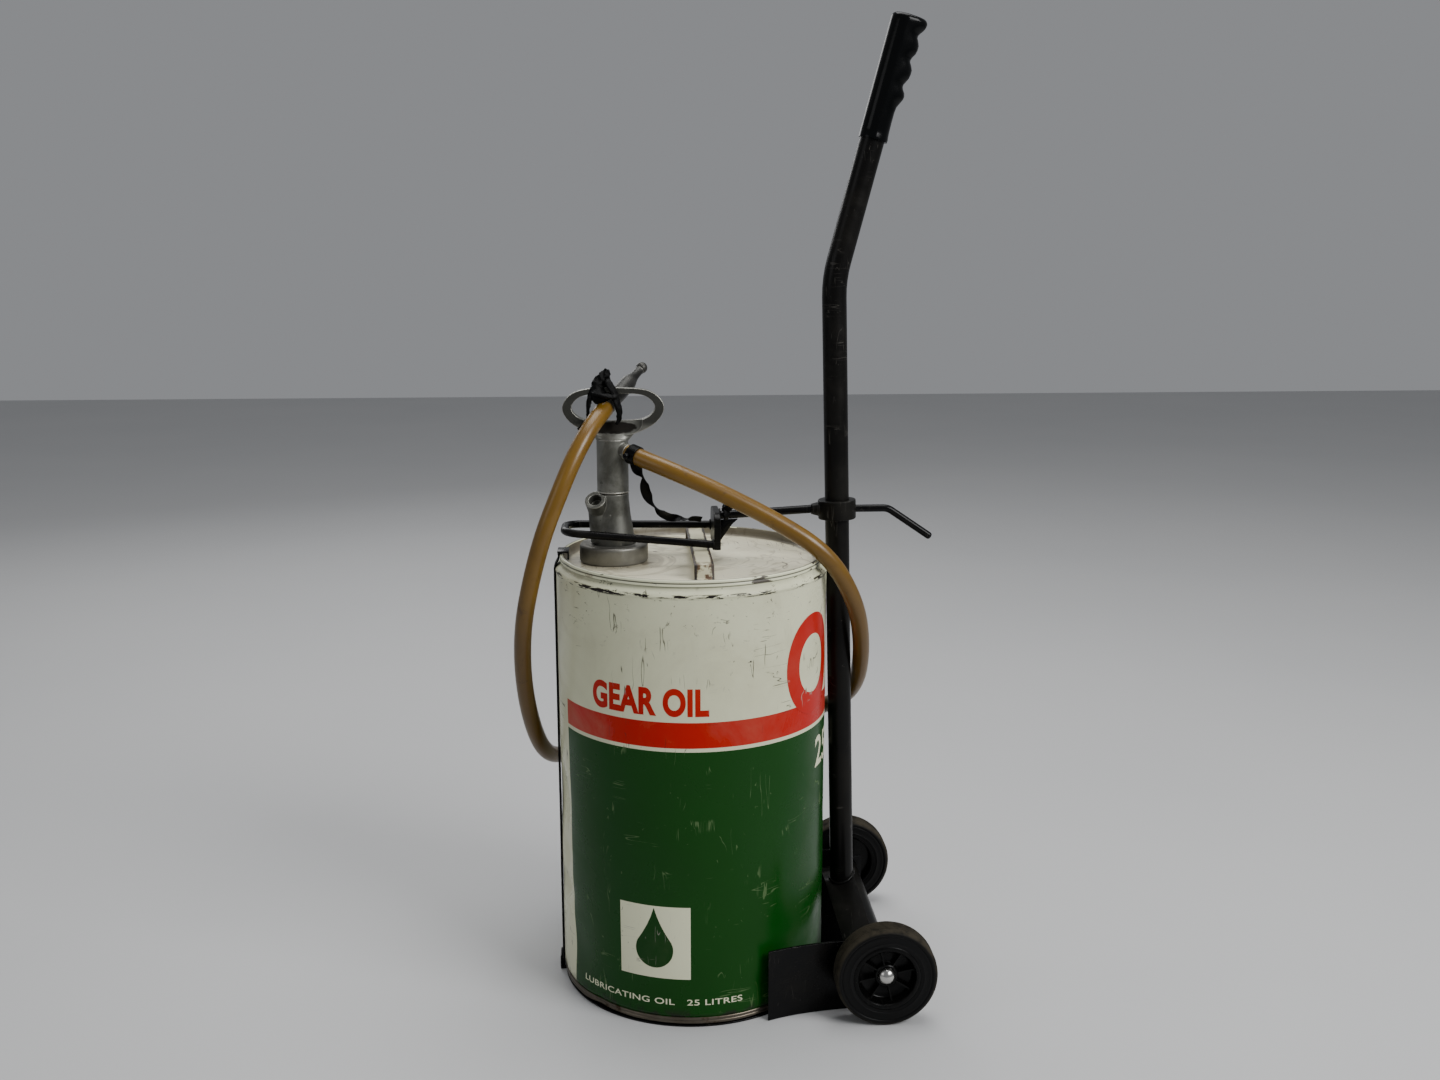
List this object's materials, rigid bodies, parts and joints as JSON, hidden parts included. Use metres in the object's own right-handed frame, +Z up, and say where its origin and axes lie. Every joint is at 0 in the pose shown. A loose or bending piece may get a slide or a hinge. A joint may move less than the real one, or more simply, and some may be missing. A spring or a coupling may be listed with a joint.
{
  "type": "oil drum trolley with hand pump",
  "caption": "Steel oil drum on a two-wheeled mast trolley, with a hand plunger pump in its lid, a dispensing hose with nozzle, and a sliding clamp that holds the pump.",
  "frame": {"origin": "on the floor, on the drum's axis, at the middle of the base plate's underside", "axes": "+Z up along the drum's axis, +X from the drum to the mast and axle, +Y along the axle to the user's left when pushing the drum ahead"},
  "size_m": [0.4446, 0.3274, 1.0165],
  "materials": {
    "drum_paint": "gloss",
    "plated_steel": "satin",
    "bare_steel": "satin",
    "strap_paint": "satin",
    "casting": "satin",
    "pump_steel": "satin",
    "seal_rubber": "matt",
    "bush_brass": "satin",
    "black_paint": "gloss",
    "black_grip": "gloss",
    "hub_plastic": "satin",
    "tyre_rubber": "matt",
    "zinc": "gloss",
    "hose_pvc": "gloss",
    "black_cloth": "matt",
    "webbing": "matt",
    "clip_plastic": "satin"
  },
  "bodies": {
    "trolley": {"base_plate": "black_paint", "cheek_left": "black_paint", "cheek_right": "black_paint", "yoke": "black_paint", "mast": "black_paint", "hand_grip": "black_grip", "axle": "bare_steel", "axle_tube": "black_paint", "axle_spacers": "bare_steel", "axle_washers": "bare_steel", "left_axle_cap": "zinc", "right_axle_cap": "zinc", "drum_shell": "drum_paint", "drum_top_head": "strap_paint", "drum_bottom_head": "plated_steel", "filler_neck": "plated_steel", "drum_handle": "strap_paint", "neck_gasket": "seal_rubber", "ring_nut": "casting", "pump_body": "casting", "gland_bush": "bush_brass", "pump_barrel": "pump_steel", "foot_valve_seat": "pump_steel", "foot_valve_pin": "bare_steel", "strainer": "pump_steel", "front_strap": "webbing", "strap_hook": "black_paint"},
    "left_wheel": {"left_tyre": "tyre_rubber", "left_hub": "hub_plastic"},
    "right_wheel": {"right_tyre": "tyre_rubber", "right_hub": "hub_plastic"},
    "plunger": {"pump_handle": "casting", "plunger_rod": "pump_steel", "piston": "pump_steel", "piston_seal": "seal_rubber", "hose_tail": "bush_brass", "hose_clip": "clip_plastic", "hose": "hose_pvc", "nozzle": "casting", "cloth_tie": "black_cloth", "ribbon": "black_cloth"},
    "clamp": {"clamp_collar": "black_paint", "clamp_arm": "black_paint", "clamp_plate": "black_paint", "clamp_gusset": "black_paint", "clamp_loop": "black_paint"},
    "lever": {"lock_lever": "black_paint"},
    "foot_ball": {"foot_valve_ball": "bare_steel"},
    "discharge_ball": {"discharge_ball": "bare_steel"}
  },
  "joints": [
    {"name": "left_wheel_spin", "type": "hinge", "parent": "trolley", "child": "left_wheel", "pos_m": [0.192, 0.1405, 0.053], "axis": [0, 1, 0], "continuous": true},
    {"name": "right_wheel_spin", "type": "hinge", "parent": "trolley", "child": "right_wheel", "pos_m": [0.192, -0.1405, 0.053], "axis": [0, 1, 0], "continuous": true},
    {"name": "pump_stroke", "type": "slide", "parent": "trolley", "child": "plunger", "axis": [0, 0, 1], "range_m": [0, 0.095]},
    {"name": "clamp_height", "type": "slide", "parent": "trolley", "child": "clamp", "axis": [-0.029, 0, 0.9996], "range_m": [0, 0.045]},
    {"name": "lock_turn", "type": "hinge", "parent": "clamp", "child": "lever", "pos_m": [0.1546, 0, 0.515], "axis": [1, 0, 0], "range_deg": [0, 270]},
    {"name": "foot_ball_lift", "type": "slide", "parent": "trolley", "child": "foot_ball", "axis": [0, 0, 1], "range_m": [0, 0.004]},
    {"name": "discharge_ball_lift", "type": "slide", "parent": "plunger", "child": "discharge_ball", "axis": [0, 0, 1], "range_m": [0, 0.004]}
  ]
}
